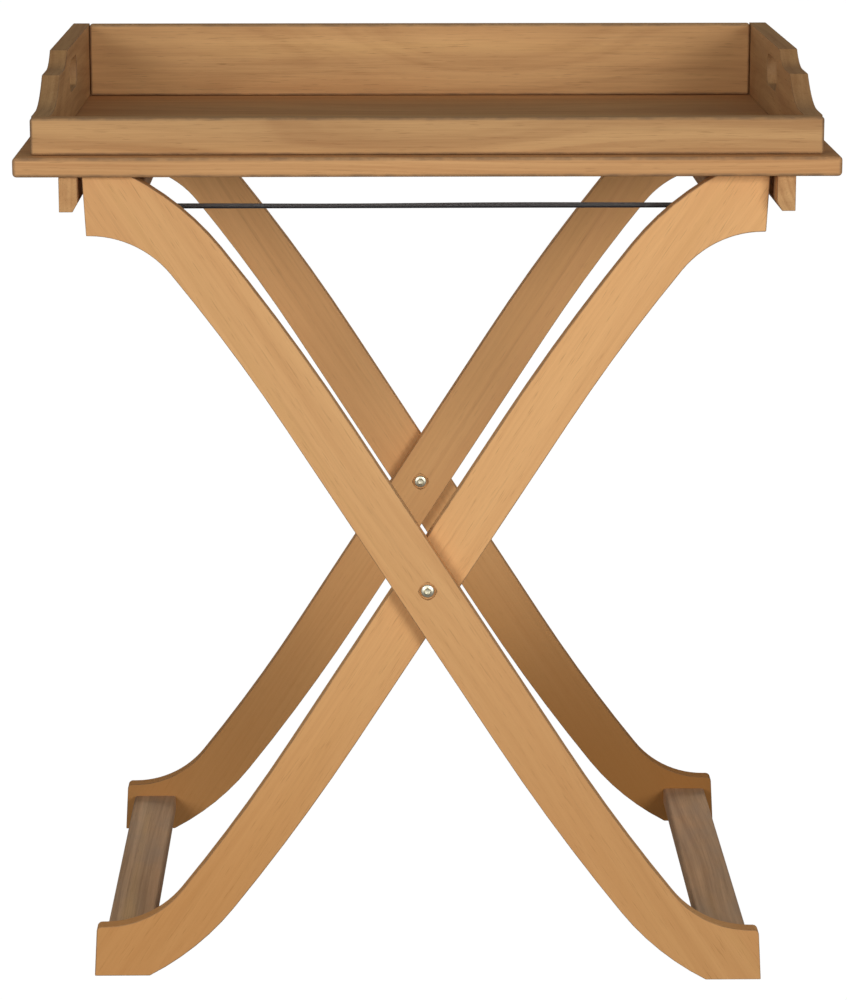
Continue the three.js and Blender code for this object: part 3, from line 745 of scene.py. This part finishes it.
class TRAYTABLE_OT_screws(bpy.types.Operator):
    """Turn the wood screws, and the screws and washers of the straps"""

    bl_idname = "tray_table.screws"
    bl_label = "Screws"

    def execute(self, context):
        fitting = context.scene.tray_table_fittings
        zinc = plated("screw_zinc", fitting.zinc, 0.3, 0.4)
        for node in fixings("batten_screw", "gallery_screw"):
            self.countersunk(node, fitting, zinc)
        for node in fixings("strap_screw"):
            self.pan_head(node, fitting, zinc)
        for node in fixings("strap_washer"):
            self.disc(node, fitting, zinc)
        return {"FINISHED"}

    def place(self, node):
        low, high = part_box(node)
        bottom = Vector(((low.x + high.x) / 2, (low.y + high.y) / 2, low.z))
        return bottom, (high.x - low.x) / 2, high.z - low.z

    def recess(self, head):
        """The cross opening in a head, from its bottom to its rim."""
        return [(0.0, 1.5 * MM), (head * 0.3, 1.2 * MM), (head * CROSS_SPAN, 0.25 * MM),
                (head * 0.66, 0.0)]

    def countersunk(self, node, fitting, material):
        bottom, head, length = self.place(node)
        shank = fitting.screw_shank
        rim = 0.15 * MM
        profile = [*self.recess(head), (head - rim, 0.0), (head, rim),
                   (shank, fitting.screw_head), (shank, length - fitting.screw_point),
                   (0.0, length)]
        shape = turned_shape(profile, bottom, UP, SCREW_STEPS, head * CROSS_SPAN, CROSS)
        fit(new_piece(node + "_turned", shape, material), "tray", "screw_steel", node)

    def pan_head(self, node, fitting, material):
        bottom, head, length = self.place(node)
        shank, height = fitting.screw_shank, 2.0 * MM
        profile = [*self.recess(head), (head * 0.8, 0.2 * MM), (head * 0.95, 0.7 * MM),
                   (head, 1.3 * MM), (head, height), (shank, height),
                   (shank, length - fitting.screw_point), (0.0, length)]
        shape = turned_shape(profile, bottom, UP, SCREW_STEPS, head * CROSS_SPAN, CROSS)
        fit(new_piece(node + "_turned", shape, material), self.frame_of(node), "screw_steel",
            node)

    def disc(self, node, fitting, material):
        bottom, radius, thick = self.place(node)
        bore, ease = fitting.screw_shank * WASHER_PLAY, 0.2 * MM
        profile = [(bore, 0.0), (radius - ease, 0.0), (radius, ease), (radius, thick - ease),
                   (radius - ease, thick), (bore, thick), (bore, 0.0)]
        shape = turned_shape(profile, bottom, UP)
        fit(new_piece(node + "_turned", shape, material), self.frame_of(node), "screw_steel",
            node)

    def frame_of(self, node):
        return "outer_frame" if node.endswith("left") else "inner_frame"


DOWEL_SHADE = 0.8


class TRAYTABLE_OT_dowels(bpy.types.Operator):
    """Finish the dowels inside the gallery's corners"""

    bl_idname = "tray_table.dowels"
    bl_label = "Dowels"

    def execute(self, context):
        timber = context.scene.tray_table_timber
        deep = [DOWEL_SHADE * channel for channel in timber.dowel]
        for kind, turn in (("front_dowel", GRAIN_ALONG_Y), ("back_dowel", GRAIN_ALONG_X)):
            finish = wood(kind + "_beech", timber.dowel, deep, turn, plank=(1.7, 0.2, 0.9),
                          figure=0.2)
            for node in fixings(kind):
                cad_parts[node].material_slots[0].material = finish
        return {"FINISHED"}


# ------------------------------------------------------------------ straps

STRAP_GRID = (120, 8)
RIPPLE_RATE = 17.0  # radians for each metre along the strap
STRAP_TWIST = 0.02  # rise for each metre across the strap, where it swings most
SELVEDGE = 0.45 * MM
PHASE_STEP = 1.7  # radians between the two straps' ripples


class TRAYTABLE_OT_straps(bpy.types.Operator):
    """Weave the two straps that hold the stand open"""

    bl_idname = "tray_table.straps"
    bl_label = "Straps"

    def execute(self, context):
        fitting = context.scene.tray_table_fittings
        finish = woven("strap_webbing", fitting.webbing, fitting.weave_pitch)
        for index, end in enumerate(ENDS):
            self.strap(end, finish, fitting.strap_ripple, PHASE_STEP * index)
        return {"FINISHED"}

    def strap(self, end, finish, ripple, phase):
        """One strap: flat where the rails and washers hold it, and rippled between them."""
        node = f"strap_{end}"
        low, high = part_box(node)
        size, centre = high - low, (low + high) / 2
        near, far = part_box(f"strap_washer_{end}_right")
        held = 2 * (far.x - near.x)
        free = size.x / 2 - held
        columns, rows = STRAP_GRID
        shape = bmesh.new()
        bmesh.ops.create_grid(shape, x_segments=columns, y_segments=rows, size=0.5)
        bmesh.ops.scale(shape, vec=(size.x, size.y, 1.0), verts=shape.verts)
        for vert in shape.verts:
            ease = max(0.0, 1.0 - (vert.co.x / free) ** 2)
            swing = math.sin(RIPPLE_RATE * vert.co.x + phase) * ease
            vert.co.z = (ripple + STRAP_TWIST * vert.co.y) * swing
        bmesh.ops.solidify(shape, geom=shape.faces[:], thickness=size.z)
        rims = [edge for edge in shape.edges
                if edge.is_manifold and edge.calc_face_angle() > SHARP]
        bmesh.ops.bevel(shape, geom=rims, offset=SELVEDGE, offset_type="OFFSET",
                        affect="EDGES", segments=2, profile=0.5, material=-1)
        bmesh.ops.recalc_face_normals(shape, faces=shape.faces)
        top = max(vert.co.z for vert in shape.verts if abs(vert.co.x) > free)
        bmesh.ops.translate(shape, vec=(centre.x, centre.y, high.z - top), verts=shape.verts)
        piece = new_piece(node + "_webbing", shape, finish)
        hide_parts(node)
        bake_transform(piece)


# ------------------------------------------------------------------ studio

FRONT_LAMP = (1.3, 1.3)
BACK_LAMP = (2.4, 1.6)
LAMPS_AIM_AT = (0.0, 0.0, 0.4)
WHITE = (1.0, 1.0, 1.0, 1.0)
GLOW_STRENGTH = 1.12
FLOOR_HALF = 25.0
FLOOR_DROP = 0.1 * MM
SENSOR_HEIGHT = 36.0


class TRAYTABLE_OT_studio(bpy.types.Operator):
    """Set up the camera, the lights and the floor"""

    bl_idname = "tray_table.studio"
    bl_label = "Studio"

    def execute(self, context):
        studio = context.scene.tray_table_studio
        self.camera(context.scene, studio)
        self.floor(studio)
        self.light("left_softbox", (-1.75, -3.5, 1.2), FRONT_LAMP, studio.left_power)
        self.light("right_softbox", (1.75, -3.5, 1.2), FRONT_LAMP, studio.right_power)
        back = self.light("back_softbox", (0.0, 3.0, 1.2), BACK_LAMP, studio.back_power)
        back.visible_glossy = False
        self.sky(context.scene, studio.sky)
        context.scene.view_settings.view_transform = "Standard"
        return {"FINISHED"}

    def camera(self, scene, studio):
        data = bpy.data.cameras.new("studio_camera")
        data.lens = studio.lens
        data.sensor_fit = "VERTICAL"
        data.sensor_height = SENSOR_HEIGHT
        camera = bpy.data.objects.new("studio_camera", data)
        turn = Euler((math.pi / 2 - studio.pitch, 0.0, -studio.yaw))
        camera.matrix_world = Matrix.Translation(studio.eye) @ turn.to_matrix().to_4x4()
        scene.collection.objects.link(camera)
        scene.camera = camera

    def floor(self, studio):
        """A plain white floor that is open to a camera below it."""
        shape = bmesh.new()
        bmesh.ops.create_grid(shape, x_segments=1, y_segments=1, size=FLOOR_HALF)
        bmesh.ops.translate(shape, vec=(0, 0, -FLOOR_DROP), verts=shape.verts)
        shader = Shader("studio_floor")
        grey = studio.floor_grey
        shader.finish({}, {"Base Color": (grey, grey, grey, 1.0), "Roughness": 0.9,
                           "Specular IOR Level": 0.1})
        glow = shader.node("ShaderNodeEmission", {}, {"Color": WHITE,
                                                      "Strength": GLOW_STRENGTH})
        seen = shader.node("ShaderNodeLightPath", {}, {}, "Is Camera Ray") * studio.floor_glow
        both = shader.node("ShaderNodeMixShader", {}, {
            0: seen, 1: Value(shader, shader.surface.outputs[0]), 2: glow})
        below = shader.node("ShaderNodeNewGeometry", {}, {}, "Backfacing")
        clear = shader.node("ShaderNodeBsdfTransparent", {}, {})
        surface = shader.node("ShaderNodeMixShader", {}, {0: below, 1: both, 2: clear})
        output = shader.tree.nodes["Material Output"]
        shader.tree.links.new(surface.socket, output.inputs["Surface"])
        new_piece("studio_floor", shape, shader.material)

    def light(self, name, place, size, power):
        """A rectangular lamp that lights the table and that the camera doesn't see."""
        data = bpy.data.lights.new(name, "AREA")
        data.shape = "RECTANGLE"
        data.size, data.size_y = size
        data.energy = power
        lamp = bpy.data.objects.new(name, data)
        look = (Vector(LAMPS_AIM_AT) - Vector(place)).to_track_quat("-Z", "Y")
        lamp.matrix_world = Matrix.Translation(place) @ look.to_matrix().to_4x4()
        lamp.visible_camera = False
        bpy.context.scene.collection.objects.link(lamp)
        return lamp

    def sky(self, scene, strength):
        """Even light from all round, seen as white behind the table."""
        world = bpy.data.worlds.new("studio_sky")
        world.use_nodes = True
        nodes, links = world.node_tree.nodes, world.node_tree.links
        nodes["Background"].inputs["Color"].default_value = WHITE
        nodes["Background"].inputs["Strength"].default_value = strength
        seen = nodes.new("ShaderNodeBackground")
        seen.inputs["Color"].default_value = WHITE
        path = nodes.new("ShaderNodeLightPath")
        mixed = nodes.new("ShaderNodeMixShader")
        links.new(path.outputs["Is Camera Ray"], mixed.inputs[0])
        links.new(nodes["Background"].outputs[0], mixed.inputs[1])
        links.new(seen.outputs[0], mixed.inputs[2])
        links.new(mixed.outputs[0], nodes["World Output"].inputs["Surface"])
        scene.world = world


# ------------------------------------------------------------------ add-on

OPERATORS = (
    TRAYTABLE_OT_studio,
    TRAYTABLE_OT_board,
    TRAYTABLE_OT_gallery,
    TRAYTABLE_OT_battens,
    TRAYTABLE_OT_legs,
    TRAYTABLE_OT_cross_rails,
    TRAYTABLE_OT_pivots,
    TRAYTABLE_OT_screws,
    TRAYTABLE_OT_dowels,
    TRAYTABLE_OT_straps,
)


class TRAYTABLE_PT_sidebar(bpy.types.Panel):
    """Lists the table's settings and pieces"""

    bl_label = "Folding Tray Table"
    bl_idname = "TRAYTABLE_PT_sidebar"
    bl_space_type = "VIEW_3D"
    bl_region_type = "UI"
    bl_category = "Tray Table"

    def draw(self, context):
        scene = context.scene
        for settings in (scene.tray_table_timber, scene.tray_table_fittings,
                         scene.tray_table_studio):
            box = self.layout.box()
            for name in settings.bl_rna.properties.keys():
                if name not in ("rna_type", "name"):
                    box.prop(settings, name)
        for operator in OPERATORS:
            self.layout.operator(operator.bl_idname)


SETTINGS = {
    "tray_table_timber": TimberSettings,
    "tray_table_fittings": FittingSettings,
    "tray_table_studio": StudioSettings,
}


def register():
    for settings in SETTINGS.values():
        bpy.utils.register_class(settings)
    for operator in OPERATORS:
        bpy.utils.register_class(operator)
    bpy.utils.register_class(TRAYTABLE_PT_sidebar)
    for name, settings in SETTINGS.items():
        setattr(bpy.types.Scene, name, bpy.props.PointerProperty(type=settings))


def unregister():
    for name in SETTINGS:
        delattr(bpy.types.Scene, name)
    bpy.utils.unregister_class(TRAYTABLE_PT_sidebar)
    for operator in reversed(OPERATORS):
        bpy.utils.unregister_class(operator)
    for settings in reversed(SETTINGS.values()):
        bpy.utils.unregister_class(settings)


def main():
    register()
    for operator in OPERATORS:
        group, name = operator.bl_idname.split(".")
        getattr(getattr(bpy.ops, group), name)()


if __name__ == "__main__":
    main()
